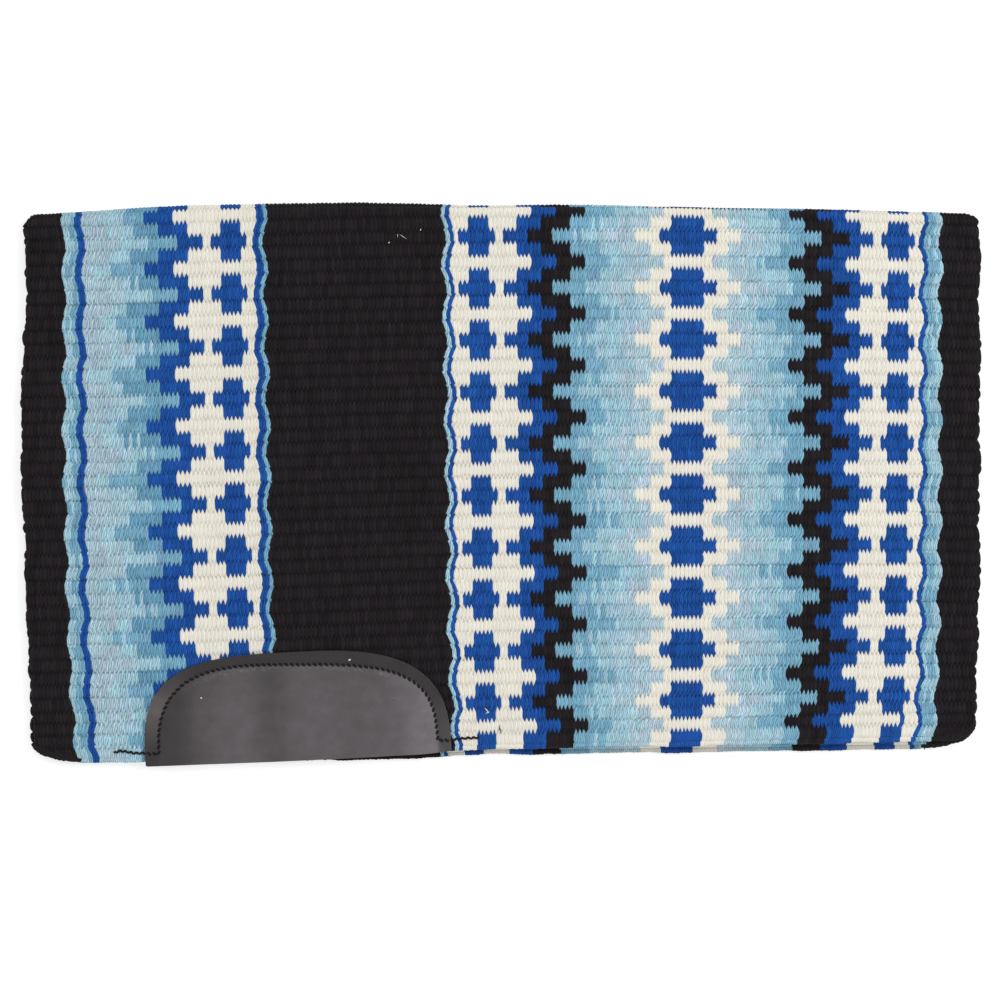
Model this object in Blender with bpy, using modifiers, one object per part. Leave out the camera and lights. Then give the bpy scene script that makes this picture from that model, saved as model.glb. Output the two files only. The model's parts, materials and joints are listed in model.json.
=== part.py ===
"""A woven wool saddle blanket with wear leathers, folded once at its spine and lying flat.

Metres, +Z up. The warp cords run along X, the fold is at +Y and the hems are at -Y. The back half
lies at z = 0, and the front half lies on it. The origin is below the middle of the folded blanket.
"""
import math

import bmesh
import bpy
from mathutils import Vector

MM = 0.001

# Cloth: each half's left and right drops run from the outside of the fold to the hem
CLOTH_WIDTH = 864 * MM
CLOTH_THICK = 7.2 * MM
CLOTH_EDGE_RADIUS = 3.2 * MM
FRONT_LEFT_DROP = 502 * MM
FRONT_RIGHT_DROP = 480 * MM
CLEARANCE = 0.3 * MM

# Laps: how far the back half's hem reaches below the front half's, at its left and right ends
BACK_LEFT_LAP = -2 * MM
BACK_RIGHT_LAP = 9 * MM

# Sides: each side is drawn in towards the hem over its lowest stretch
SIDE_DRAW_HEIGHT = 150 * MM
LEFT_SIDE_DRAW = 9 * MM
RIGHT_SIDE_DRAW = 5 * MM

# Spine: the fold is drawn in at its two ends
SPINE_CORNER_RUN = 20 * MM
SPINE_CORNER_RISE = 7 * MM

# Hem: the cord along each lower edge, and the roll that binds it off at each corner
HEM_CORD_RADIUS = 2.8 * MM
CORNER_RUN = 42 * MM
CORNER_RISE = 19 * MM
ROLL_RADIUS = CLOTH_THICK / 2
ROLL_RADIUS_SHARES = (0.45, 0.82, 1.0, 0.94, 1.0, 0.82, 0.45)

# Wear leather: a half-moon, flat along the hem
LEATHER_LENGTH = 277 * MM
LEATHER_HEIGHT = 97 * MM
LEATHER_THICK = 2.2 * MM
LEATHER_EDGE_RADIUS = 0.5 * MM
LEATHER_ROUNDNESS = 3.2
LEATHER_START = 104 * MM
LEATHER_OVERHANG = 4.5 * MM
LEATHER_TILT = math.radians(2.6)
LEATHER_PRESS = 0.8 * MM
HIDDEN_LEATHER_START = 109 * MM
HIDDEN_LEATHER_INSET = 8 * MM

# Stitching: one line of thread inside the leather's edge, which runs on over the wool at each end
THREAD_RADIUS = 0.5 * MM
SEAM_INSET = 11 * MM
SEAM_FOOT = 8 * MM
TAIL_RISE = 11 * MM
LEFT_TAIL = 25 * MM
RIGHT_TAIL = 23 * MM
TAIL_STEP = 3 * MM

# How round the curved outlines are, and how flat the faces that count as one
ARC_STEPS = 8
MOON_STEPS = 36
SEAM_STEPS = 30
FLAT_ANGLE = math.radians(0.05)

# What follows from the sizes above
FOLD_RADIUS = CLOTH_THICK + CLEARANCE / 2
HEM_WIDTH = CLOTH_WIDTH - LEFT_SIDE_DRAW - RIGHT_SIDE_DRAW
HEM_SLOPE = math.atan((FRONT_LEFT_DROP - FRONT_RIGHT_DROP) / HEM_WIDTH)
SPAN = FRONT_LEFT_DROP - LEATHER_START * math.sin(HEM_SLOPE) + LEATHER_OVERHANG * math.cos(HEM_SLOPE)
FOLD_TOP_Y = SPAN / 2
FOLD_Y = FOLD_TOP_Y - FOLD_RADIUS
SPINE_EDGE_Y = FOLD_TOP_Y - CLEARANCE / 2
BACK_Z = CLOTH_THICK / 2
FRONT_Z = BACK_Z + CLOTH_THICK + CLEARANCE
TOP_Z = FRONT_Z + CLOTH_THICK / 2
HALF_WIDTH = CLOTH_WIDTH / 2

WOOL_BLUE = (0.36, 0.52, 0.60, 1.0)
WOOL_ROYAL = (0.012, 0.055, 0.30, 1.0)
WOOL_BLACK = (0.016, 0.013, 0.014, 1.0)
LEATHER_GREY = (0.085, 0.078, 0.082, 1.0)
THREAD_BLACK = (0.008, 0.008, 0.009, 1.0)


def clear_scene():
    """Empty the file of every object."""
    for old in list(bpy.data.objects):
        bpy.data.objects.remove(old, do_unlink=True)


def make_collection(name):
    """A collection in the scene."""
    group = bpy.data.collections.new(name)
    bpy.context.scene.collection.children.link(group)
    return group


def make_material(name, colour, roughness):
    """A plain surface in one colour."""
    material = bpy.data.materials.new(name)
    material.use_nodes = True
    shader = material.node_tree.nodes["Principled BSDF"]
    shader.inputs["Base Color"].default_value = colour
    shader.inputs["Roughness"].default_value = roughness
    shader.inputs["Metallic"].default_value = 0.0
    return material


def mesh_of_curve(name, curve_object, group, material):
    """The curve's solid as a mesh object, its caps welded and whole. The curve is removed."""
    bpy.context.view_layer.update()
    evaluated = curve_object.evaluated_get(bpy.context.evaluated_depsgraph_get())
    mesh = bpy.data.meshes.new_from_object(evaluated)
    work = bmesh.new()
    work.from_mesh(mesh)
    bmesh.ops.remove_doubles(work, verts=work.verts, dist=CLEARANCE / 100)
    bmesh.ops.recalc_face_normals(work, faces=work.faces)
    bmesh.ops.dissolve_limit(work, angle_limit=FLAT_ANGLE, verts=work.verts, edges=work.edges)
    work.to_mesh(mesh)
    work.free()
    mesh.materials.clear()
    mesh.materials.append(material)
    solid = bpy.data.objects.new(name, mesh)
    solid.matrix_world = curve_object.matrix_world
    group.objects.link(solid)
    bpy.data.objects.remove(curve_object, do_unlink=True)
    return solid


def outline_slab(name, points, middle_z, thickness, group, material):
    """A flat outline in X and Y, as thick as given about its middle height."""
    curve = bpy.data.curves.new(name, "CURVE")
    curve.dimensions = "2D"
    curve.fill_mode = "BOTH"
    curve.extrude = thickness / 2
    spline = curve.splines.new("POLY")
    spline.points.add(len(points) - 1)
    for point, (x, y) in zip(spline.points, points):
        point.co = (x, y, 0, 1)
    spline.use_cyclic_u = True
    flat = bpy.data.objects.new(name + "_outline", curve)
    group.objects.link(flat)
    slab = mesh_of_curve(name, flat, group, material)
    slab.location.z = middle_z
    return slab


def tube(name, points, radius, group, material, radius_shares=None, bevel_resolution=2):
    """A round cord along points, with its radius as shares of the full one."""
    curve = bpy.data.curves.new(name, "CURVE")
    curve.dimensions = "3D"
    curve.bevel_depth = radius
    curve.bevel_resolution = bevel_resolution
    curve.use_fill_caps = True
    spline = curve.splines.new("POLY")
    spline.points.add(len(points) - 1)
    for index, (point, place) in enumerate(zip(spline.points, points)):
        point.co = (*place, 1)
        if radius_shares:
            point.radius = radius_shares[index]
    cord = bpy.data.objects.new(name + "_path", curve)
    group.objects.link(cord)
    solid = mesh_of_curve(name, cord, group, material)
    solid.data.shade_smooth()
    solid.data.set_sharp_from_angle(angle=math.radians(40))
    return solid


def round_edges(slab, radius, segments, keeps_edge):
    """Round the slab's rims, apart from the edges that keeps_edge names by their two ends."""
    mesh = slab.data
    weights = mesh.attributes.new("bevel_weight_edge", "FLOAT", "EDGE")
    for edge in mesh.edges:
        ends = [mesh.vertices[index].co for index in edge.vertices]
        is_rim = abs(ends[0].z - ends[1].z) < radius / 10
        weights.data[edge.index].value = 1.0 if is_rim and not keeps_edge(*ends) else 0.0
    bevel = slab.modifiers.new("rounded_rim", "BEVEL")
    bevel.limit_method = "WEIGHT"
    bevel.width = radius
    bevel.segments = segments


def cut(solid, cutter, operation="DIFFERENCE"):
    """Take the cutter's shape out of the solid, or with INTERSECT keep only what lies in it."""
    cutter.display_type = "WIRE"
    cutter.hide_render = True
    boolean = solid.modifiers.new(cutter.name, "BOOLEAN")
    boolean.operation = operation
    boolean.solver = "EXACT"
    boolean.object = cutter


def crossing(start, along, other_start, other_along):
    """Where two lines in X and Y cross."""
    across = along.x * other_along.y - along.y * other_along.x
    offset = other_start - start
    step = (offset.x * other_along.y - offset.y * other_along.x) / across
    return start + along * step


class Half:
    """One half of the folded cloth: its hem line, corner lines and height."""

    def __init__(self, label, left_drop, right_drop, middle_z):
        self.label = label
        self.middle_z = middle_z
        self.hem_left = Vector((LEFT_SIDE_DRAW - HALF_WIDTH, FOLD_TOP_Y - left_drop))
        self.hem_right = Vector((HALF_WIDTH - RIGHT_SIDE_DRAW, FOLD_TOP_Y - right_drop))

    def along_hem(self):
        """The hem's direction, left to right."""
        return (self.hem_right - self.hem_left).normalized()

    def into_cloth(self):
        """The direction from the hem to the fold, square to the hem."""
        along = self.along_hem()
        return Vector((-along.y, along.x))

    def hem_point(self, distance, height):
        """A point so far along the hem from its left end, and so far above it."""
        return self.hem_left + self.along_hem() * distance + self.into_cloth() * height

    def hem_length(self):
        """The hem's length over its corners, before these are cut off."""
        return (self.hem_right - self.hem_left).length

    def side_line(self, side):
        """The hem's corner, and the point above it where that side starts to draw in."""
        corner = self.hem_left if side < 0 else self.hem_right
        return corner, Vector((side * HALF_WIDTH, corner.y + SIDE_DRAW_HEIGHT))

    def corner_line(self, side):
        """The two ends of the line that cuts off a corner, from the side to the hem."""
        corner, side_top = self.side_line(side)
        side_end = corner + (side_top - corner).normalized() * CORNER_RISE
        hem_end = corner - self.along_hem() * CORNER_RUN * side
        return side_end, hem_end

    def corner_inward(self, side):
        """The corner line's direction, and the direction square to it into the cloth."""
        side_end, hem_end = self.corner_line(side)
        along = (hem_end - side_end).normalized()
        return along, Vector((along.y, -along.x)) * side

    def roll_end(self, side):
        """The end of a corner roll's centre line that meets the hem cord."""
        inward = self.corner_inward(side)[1]
        return self.corner_line(side)[1] + inward * ROLL_RADIUS

    def cord_end(self, side):
        """How far along the hem the cord ends, clear of the corner roll."""
        along_corner = self.corner_inward(side)[0]
        slope = abs(along_corner.cross(self.along_hem()))
        reach = ROLL_RADIUS * ROLL_RADIUS_SHARES[-1] * slope + CLEARANCE
        offset = (self.roll_end(side) - self.hem_left).dot(self.along_hem())
        return offset - side * reach

    def outline(self):
        """The woven panel's outline, inside its hem cord and corner rolls."""
        hem_height = 2 * HEM_CORD_RADIUS + CLEARANCE
        points = [(-HALF_WIDTH, SPINE_EDGE_Y - SPINE_CORNER_RISE),
                  (-HALF_WIDTH + SPINE_CORNER_RUN, SPINE_EDGE_Y),
                  (HALF_WIDTH - SPINE_CORNER_RUN, SPINE_EDGE_Y),
                  (HALF_WIDTH, SPINE_EDGE_Y - SPINE_CORNER_RISE)]
        for side in (1, -1):
            along, inward = self.corner_inward(side)
            start = self.corner_line(side)[0] + inward * (2 * ROLL_RADIUS + CLEARANCE)
            corner, side_top = self.side_line(side)
            up_side = crossing(start, along, corner, side_top - corner)
            on_hem = crossing(start, along, self.hem_point(0, hem_height), self.along_hem())
            points += [side_top, up_side, on_hem] if side > 0 else [on_hem, up_side, side_top]
        return [(x, y) for x, y in points]


def add_panel(half, group, cutters, material):
    """The woven cloth of one half: a quarter round at the spine, and softened along its other edges."""
    name = half.label + "_panel"
    panel = outline_slab(name, half.outline(), half.middle_z, CLOTH_THICK, group, material)

    def at_spine(start, end):
        return min(start.y, end.y) > SPINE_EDGE_Y - SPINE_CORNER_RISE - CLEARANCE

    round_edges(panel, CLOTH_EDGE_RADIUS, 4, at_spine)
    cut(panel, add_spine_former(half, cutters, material), "INTERSECT")
    return panel


def add_spine_former(half, cutters, material):
    """A bar along the whole cloth whose end is the fold's outer quarter round."""
    outward = -1 if half.middle_z < FOLD_RADIUS else 1
    last_angle = math.acos((SPINE_EDGE_Y - FOLD_Y) / FOLD_RADIUS)
    beyond = 2 * FOLD_RADIUS
    points = [(-SPAN, 0), (-SPAN, beyond), (FOLD_Y, beyond)]
    for step in range(ARC_STEPS + 1):
        angle = math.pi / 2 + (last_angle - math.pi / 2) * step / ARC_STEPS
        points.append((FOLD_Y + FOLD_RADIUS * math.cos(angle), FOLD_RADIUS * math.sin(angle)))
    points.append((SPINE_EDGE_Y, 0))
    points = [(y, outward * z) for y, z in points]
    bar = outline_slab(half.label + "_spine_former", points, 0, 2 * CLOTH_WIDTH, cutters, material)
    bar.rotation_euler = (math.pi / 2, 0, math.pi / 2)
    bar.location = (0, 0, FOLD_RADIUS)
    return bar


def add_hem(half, group, cord_material, roll_material):
    """The hem cord of one half, and the roll at each of its corners."""
    ends = [half.cord_end(side) for side in (-1, 1)]
    path = [(*half.hem_point(end, HEM_CORD_RADIUS), half.middle_z) for end in ends]
    pieces = [tube(half.label + "_hem_cord", path, HEM_CORD_RADIUS, group, cord_material)]
    for side, side_name in ((-1, "left"), (1, "right")):
        inward = half.corner_inward(side)[1]
        start, end = (place + inward * ROLL_RADIUS for place in half.corner_line(side))
        steps = len(ROLL_RADIUS_SHARES) - 1
        places = [start.lerp(end, index / steps) for index in range(steps + 1)]
        path = [(*place, half.middle_z) for place in places]
        name = half.label + "_" + side_name + "_corner_roll"
        pieces.append(tube(name, path, ROLL_RADIUS, group, roll_material, ROLL_RADIUS_SHARES, 3))
    return pieces


def moon_outline(length, height, roundness, steps):
    """A half-moon from the left end of its base over the top to the right end, base at y = 0."""
    points = []
    for step in range(steps + 1):
        angle = math.pi * (1 - step / steps)
        across = math.copysign(abs(math.cos(angle)) ** (2 / roundness), math.cos(angle))
        up = abs(math.sin(angle)) ** (2 / roundness)
        points.append((length / 2 * (1 + across), height * up if 0 < step < steps else 0.0))
    return points


class LeatherPlace:
    """Where a half-moon leather lies: its base's left end, and the base's direction."""

    def __init__(self, base_left, base_along):
        self.base_left = base_left
        self.along = base_along
        self.up = Vector((-base_along.y, base_along.x))

    def put(self, point):
        """A point given along and above the leather's base, in X and Y."""
        return self.base_left + self.along * point[0] + self.up * point[1]


def front_leather_place(half):
    """The front leather overhangs the hem at its left end, and its base climbs to the right."""
    base_left = half.hem_point(LEATHER_START, -LEATHER_OVERHANG)
    return LeatherPlace(base_left, Vector((math.cos(LEATHER_TILT), math.sin(LEATHER_TILT))))


def back_leather_place(half):
    """The back leather lies inside the hem cord, along the hem."""
    base_left = half.hem_point(HIDDEN_LEATHER_START, HIDDEN_LEATHER_INSET)
    return LeatherPlace(base_left, half.along_hem())


def add_leather(name, place, middle_z, group, material):
    """A half-moon of leather with softened rims."""
    moon = moon_outline(LEATHER_LENGTH, LEATHER_HEIGHT, LEATHER_ROUNDNESS, MOON_STEPS)
    points = [tuple(place.put(point)) for point in reversed(moon)]
    leather = outline_slab(name, points, middle_z, LEATHER_THICK, group, material)
    round_edges(leather, LEATHER_EDGE_RADIUS, 2, lambda start, end: False)
    return leather


def add_seat_cutter(name, place, low_z, high_z, group, material):
    """The space that a leather is pressed into, a clearance wider all round."""
    moon = moon_outline(LEATHER_LENGTH + 2 * CLEARANCE, LEATHER_HEIGHT + 2 * CLEARANCE,
                        LEATHER_ROUNDNESS, MOON_STEPS)
    points = [tuple(place.put((x - CLEARANCE, y - CLEARANCE))) for x, y in reversed(moon)]
    return outline_slab(name, points, (low_z + high_z) / 2, high_z - low_z, group, material)


def seam_path(place, height):
    """The seam inside the leather's edge, from its left foot over the top to its right foot."""
    moon = moon_outline(LEATHER_LENGTH - 2 * SEAM_INSET, LEATHER_HEIGHT - SEAM_INSET,
                        LEATHER_ROUNDNESS, SEAM_STEPS)
    feet = [(x, max(y, SEAM_FOOT)) for x, y in moon]
    return [(*place.put((x + SEAM_INSET, y)), height) for x, y in feet]


def front_thread_path(place, on_leather, on_wool):
    """The front thread: a run-on over the wool, the seam, and a run-on at the other end."""
    left_tail = [(-LEFT_TAIL, TAIL_RISE + SEAM_FOOT / 2, on_wool), (-TAIL_STEP, TAIL_RISE, on_wool),
                 (0, TAIL_RISE, on_leather)]
    right_tail = [(LEATHER_LENGTH, TAIL_RISE, on_leather),
                  (LEATHER_LENGTH + TAIL_STEP, TAIL_RISE, on_wool),
                  (LEATHER_LENGTH + RIGHT_TAIL, TAIL_RISE, on_wool)]
    seam = seam_path(place, on_leather)
    return ([(*place.put(point), point[2]) for point in left_tail] + seam
            + [(*place.put(point), point[2]) for point in right_tail])


def add_axis(name, y, z, group):
    """An empty on the line that the front half turns about."""
    axis = bpy.data.objects.new(name, None)
    group.objects.link(axis)
    axis.empty_display_size = CLOTH_THICK
    axis.location = (0, y, z)
    return axis


def hold(piece, parent):
    """Parent a piece where it lies."""
    bpy.context.view_layer.update()
    piece.parent = parent
    piece.matrix_parent_inverse = parent.matrix_world.inverted()


def build():
    """The whole blanket."""
    clear_scene()
    group = make_collection("saddle_blanket")
    cutters = make_collection("cutters")
    blue = make_material("woven_wool", WOOL_BLUE, 0.95)
    royal = make_material("royal_blue_wool", WOOL_ROYAL, 0.95)
    black = make_material("black_wool", WOOL_BLACK, 0.95)
    hide = make_material("charcoal_leather", LEATHER_GREY, 0.5)
    thread = make_material("black_thread", THREAD_BLACK, 0.6)

    back = Half("back", FRONT_LEFT_DROP + BACK_LEFT_LAP, FRONT_RIGHT_DROP + BACK_RIGHT_LAP, BACK_Z)
    front = Half("front", FRONT_LEFT_DROP, FRONT_RIGHT_DROP, FRONT_Z)

    # The fold line is the outermost one, so the front half turns clear of the back half
    spine_fold = add_axis("spine_fold_axis", FOLD_TOP_Y, FOLD_RADIUS, group)

    back_panel = add_panel(back, group, cutters, blue)
    front_panel = add_panel(front, group, cutters, blue)
    add_hem(back, group, royal, black)
    front_pieces = [front_panel] + add_hem(front, group, royal, black)

    # The front leather sits a little way into the wool. The back one lies in it with its thread
    front_place = front_leather_place(front)
    leather_low = TOP_Z - LEATHER_PRESS + CLEARANCE
    leather_top = leather_low + LEATHER_THICK
    front_pieces.append(add_leather("front_wear_leather", front_place,
                                    (leather_low + leather_top) / 2, group, hide))
    cut(front_panel, add_seat_cutter("front_leather_seat", front_place, TOP_Z - LEATHER_PRESS,
                                     TOP_Z + LEATHER_THICK, cutters, hide))
    path = front_thread_path(front_place, leather_top + CLEARANCE + THREAD_RADIUS,
                             TOP_Z + CLEARANCE + THREAD_RADIUS)
    front_pieces.append(tube("front_stitching", path, THREAD_RADIUS, group, thread,
                             bevel_resolution=1))

    back_place = back_leather_place(back)
    back_leather_low = 2 * THREAD_RADIUS + 2 * CLEARANCE
    back_leather_top = back_leather_low + LEATHER_THICK
    add_leather("back_wear_leather", back_place, (back_leather_low + back_leather_top) / 2, group, hide)
    cut(back_panel, add_seat_cutter("back_leather_seat", back_place, -LEATHER_THICK,
                                    back_leather_top + CLEARANCE, cutters, hide))
    tube("back_stitching", seam_path(back_place, back_leather_low - CLEARANCE - THREAD_RADIUS),
         THREAD_RADIUS, group, thread, bevel_resolution=1)

    for piece in front_pieces:
        hold(piece, spine_fold)


build()
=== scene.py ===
"""A woven wool saddle blanket, folded once and lying flat: its yarns, hems, wear leathers and stitching.

Metres. X runs along the warp cords, Y from the hems to the fold, and Z up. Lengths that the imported
model doesn't give are written in millimetres. A pair is for left and right, or for front and back.
"""

import json
import math

import bpy
import numpy as np
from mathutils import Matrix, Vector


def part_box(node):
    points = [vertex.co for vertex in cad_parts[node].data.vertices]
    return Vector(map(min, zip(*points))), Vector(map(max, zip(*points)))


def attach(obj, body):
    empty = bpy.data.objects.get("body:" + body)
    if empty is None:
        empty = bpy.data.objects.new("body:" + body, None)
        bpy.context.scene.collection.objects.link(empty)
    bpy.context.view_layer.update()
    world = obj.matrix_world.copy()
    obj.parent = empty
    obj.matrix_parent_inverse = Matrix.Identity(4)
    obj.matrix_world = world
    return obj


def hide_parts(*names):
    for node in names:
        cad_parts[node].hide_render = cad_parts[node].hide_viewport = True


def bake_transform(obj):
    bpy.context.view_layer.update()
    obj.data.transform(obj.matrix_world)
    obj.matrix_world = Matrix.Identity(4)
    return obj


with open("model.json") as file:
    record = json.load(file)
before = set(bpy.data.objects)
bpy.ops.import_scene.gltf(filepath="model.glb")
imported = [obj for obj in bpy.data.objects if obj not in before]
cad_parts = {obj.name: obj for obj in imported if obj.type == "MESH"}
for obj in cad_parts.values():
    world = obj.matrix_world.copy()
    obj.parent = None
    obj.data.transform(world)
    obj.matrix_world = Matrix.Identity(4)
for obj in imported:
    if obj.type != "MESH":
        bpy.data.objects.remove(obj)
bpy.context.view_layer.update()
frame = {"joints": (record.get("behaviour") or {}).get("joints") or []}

MM = 0.001

# The fold and the cloth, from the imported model
FOLD_JOINT = next(joint for joint in frame["joints"] if joint["name"] == "spine_fold")
HINGE_Y, HINGE_Z = FOLD_JOINT["pos_m"][1:]
PANEL_LOW, PANEL_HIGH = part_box("front_panel")
HALF_WIDTH = PANEL_HIGH.x
FOLD_RADIUS = PANEL_HIGH.z - HINGE_Z
HALF_GAP = PANEL_LOW.z - HINGE_Z
FOLD_Y = HINGE_Y - FOLD_RADIUS
ARC = FOLD_RADIUS * math.pi / 2
CLEARANCE = 0.3 * MM

# The weave: ribs run along the cords, and each stitch is one yarn's crossing of a rib
STITCHES = 236
PITCH = 2 * HALF_WIDTH / STITCHES
RIB = 11.7 * MM
FIRST_RIB, SPINE_RIB, LAST_RIB = -44, -2, 40
RIBS_A_PIECE, PIECES_A_HALF = 7, 6
VALLEY_DEPTH = 1.9 * MM
GROOVE_DEPTH = 0.78 * MM
CROWN_POWER = 0.9
TIP_REACH = 2.35 * MM
RIM_RUN = 3.3 * MM
STITCH_UNLIKE = 0.16 * MM
UNEVEN_DEPTH = 0.22 * MM

# The grid: columns a stitch, and the shares of a rib at which its rows lie
COLUMNS_A_STITCH = 4
ALL_STITCHES = np.arange(STITCHES * COLUMNS_A_STITCH + 1)[None, :] / COLUMNS_A_STITCH
FINE_SHARES = (0, 0.12, 0.3, 0.5, 0.7, 0.88)
PLAIN_SHARES = (0, 0.2, 0.5, 0.8)
SPINE_SHARES = (0, 0.12, 0.3, 0.48, 0.52, 0.7, 0.88)

# The baking map: its edge, and how much of it a piece takes along and, by halves, down
BAKE_EDGE, BAKE_ALONG, BAKE_DOWN = 0.002, 0.996, 0.494

# Random patterns: each one's size, its seed, the length of its waves both ways, and where it starts
NOISES = {
    "tips": (0.25, 11, 1, 1, 0, 100), "uneven": (1, 31, 7, 1.6, 0, 80), "stray": (0.38 * MM, 41, 1, 1, 3, 90),
    "lumps": (1.6 * MM, 51, 1, 1.2, 5, 70), "scallops": (0.6, 53, 1, 1, 5, 70.5),
    "shots": (0.5, 71, 1, 6, 0, 100 / 6), "bedding": (1, 91, 23 * MM, 19 * MM, 9, 9),
    "puckers": (1, 95, 1.3 * MM, 1.3 * MM, 300, 300), "thread": (0.18 * MM, 97, 1, 1, 0, 5),
    "cord_wander": (0.45 * MM, 0, 4, 1, 0, 3), "cord_turns": (0.08, 1, 1, 1, 0, 7),
    "roll_stray": (0.6 * MM, 0, 1, 1, 0, 1), "roll_turns": (0.5, 1, 1, 1, 0, 2),
    "roll_lumps": (0.06, 2, 1, 1, 0, 0),
}
NOISE_SIZE = 512
CHANCE_SIZE = (128, 512)
CHANCE_START = (60, 8)
STITCH_SEED, YARN_SEED, MIX_SEED, CORD_SEED, ROLL_SEED = 21, 61, 65, 200, 300

# The draft: each yarn, and the stitch it starts at on a wide rib, a narrow rib and a gap rib
DRAFT = (
    ("black", 0, 0, 0), ("light", 11, 10.5, 10), ("medium", 13, 12.5, 12),
    ("royal", 15, 14.5, 14), ("soft", 17, 16.5, 16), ("light", 26, 23.5, 19),
    ("medium", 32, None, 24), ("deep", None, 27.5, None), ("royal", 39, 35, 31), ("cream", 45, 41.5, 38),
    ("royal", 47, 49.5, None), ("cream", 56, 54.5, None), ("royal", 58, 58.5, 59),
    ("medium", 60, 60.5, 61), ("black", 61, 61.5, 62), ("light", 105, 104.5, 104),
    ("royal", 106, 105.5, 105), ("cream", 107, 106.5, 106), ("royal", 108, 110.5, None),
    ("cream", 117, 115.5, None), ("royal", 119, 122.5, 126), ("black", 125, 128.5, 132),
    ("medium", 131, 135.5, 139), ("light", 138, 141.5, 145), ("pale", 145, 148.5, 152),
    ("cream", 151, 154.5, 158), ("royal", 157, 159.5, None), ("cream", 171, 167.5, None),
    ("pale", 177, 173.5, 170), ("light", 183, 179.5, 176), ("medium", 190, 186.5, 183),
    ("black", 197, 192.5, 189), ("royal", 204, 199.5, 196), ("cream", 210, 206.5, 203),
    ("royal", 212, 213.5, None), ("cream", 220, 218.5, None), ("royal", 221, 221.5, 222),
    ("medium", 222, 222.5, 223), ("light", 224, 224.5, 225), ("black", 226, 226.5, 227),
)
JUST_PAST = 0.01

# One stitch strays from the draft: its rib, its middle and its yarn
STRAY_STITCH = (39, 218.5, "royal")

# Shades that mix where they meet: a stitch may take its yarn from so many stitches away
MIXED_YARNS = ("pale", "soft", "light", "medium", "deep")
MIX_REACH = 2.2

# Each yarn's colour, how much its tone and hue stray, how much painted shade darkens its valleys, and how
# strongly its plies show
YARN_LOOKS = {
    "black": ("#242023", 0.25, 0.05, 0.28, 1.6), "royal": ("#20529f", 0.17, 0.08, 0.1, 2.0),
    "cream": ("#f3efe3", 0.02, 0.01, 0.05, 0.6), "pale": ("#b4ccd8", 0.09, 0.045, 0.0, 2.0),
    "soft": ("#abc5d1", 0.08, 0.045, 0.0, 2.0), "light": ("#a4c9d7", 0.085, 0.045, 0.0, 2.0),
    "medium": ("#7cadc5", 0.09, 0.045, 0.0, 2.0), "deep": ("#6c9eba", 0.09, 0.045, 0.0, 2.0),
}
BINDING_SHOW = 1.0
LINT_SHOW = 0.3

# How far a tone goes by stitch, and a hue's green freely and against its red
TONE_BY_STITCH, HUE_FREE, HUE_TIED = 0.75, 0.3, 0.4

# At these stitches the weaver's beat moved them along, by so many stitches
CROWD_STITCHES = (0, 11, 14, 15.5, 17, 22, 26, 35, 45, 56, 58, 60, 62, 80, 104, 117, 125, 135, 155, 173,
                  190, 197, 210, 221, 222.5, 226, 236)
CROWD_OFFSETS = (0, -0.3, -0.75, -0.98, -1.35, -1.0, -0.7, -0.78, -0.35, -0.5, -0.95, -1.5, -1.45, -0.7,
                 -0.55, -0.3, -0.36, -0.17, 0.14, 0.19, 0, 0, -0.15, 0.18, 0.35, -0.1, 0)

# The narrow lines wave with the draft, by so many stitches each way
WAVE_STITCHES = (8, 12, 17, 21, 55, 58, 62, 65, 101, 104, 107, 110, 218, 221, 226, 229)
WAVE_SIZES = (0, 0.5, 0.5, 0, 0, -0.5, -0.5, 0, 0, 0.5, 0.5, 0, 0, -0.5, -0.5, 0)
WAVE_EXTRA = 0.1

# The narrow ribs' stitches lie over to one side, by so many stitches
SWAY_STITCHES = (110, 122, 138, 152, 160, 203, 212)
SWAY_SIZES = (0, -0.25, -0.25, 0.4, 0.6, 0.6, 0)

# How the cloth lies, at shares of its half width: the first wide rib's distance from the fold, and
# the ribs' pitch, which fans out towards the left
LAY_SHARES = (-1, -0.876, -0.5635, -0.047, 0.3885, 0.826, 1)
FIRST_WIDE_RIB = (37, 36, 32.5, 28.2, 27.7, 31.8, 34.5)
RIB_PITCH = (11.83, 11.83, 11.81, 11.69, 11.64, 11.42, 11.34)

# The fold's line: how far it stands out, and how its corners, left and right, drop back
FOLD_SHARES = (-1, -0.876, -0.7, -0.5, -0.31, -0.05, 0.2, 0.415, 0.66, 0.957, 1)
FOLD_BOW = (-8.6, -5.2, 0.2, 2.5, 3.6, 1.3, 1.6, -0.6, -2.4, -6.4, -7.0)
FOLD_CORNER_DROP = (10 * MM, 5 * MM)
FOLD_CORNER_RUN = 11 * MM
BOW_RUN = 30 * MM
BOW_POWER = 1.5

# How far the front and the back hem stray from a straight line
HEM_SHARES = (-1, -0.79, -0.42, -0.245, -0.12, -0.047, 0.13, 0.389, 0.6, 0.826, 1)
HEM_RISE = ((-1.2, -2.6, -1.1, 0.0, 0.4, 0.6, 0.5, -1.0, -1.7, -2.0, -2.0),
            (-1.8, -2.4, -3.8, -4.2, -3.0, -1.4, -1.4, -1.4, -1.5, -1.0, -2.2))

# How far columns drift across by the hem, front and back: evenly all the way, and late
DRIFT_SHARES = (-1, -0.86, -0.1, 0.02, 0.33, 0.7, 0.9, 1)
EVEN_DRIFT = ((4.0, 6.0, 6.5, 4.9, 0.0, -2.5, -2.3, -2.0), (1.0, -2.0, -0.5, -5.0, -7.2, -6.5, -5.5, -2.0))
LATE_DRIFT = ((8.0, 8.4, 3.0, 2.0, 0.0, -3.5, -4.0, 0.0), (7.5, 2.0, 0.0, 0.0, 0.0, -2.5, -4.0, -3.0))
LATE_POWER = 8

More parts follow.
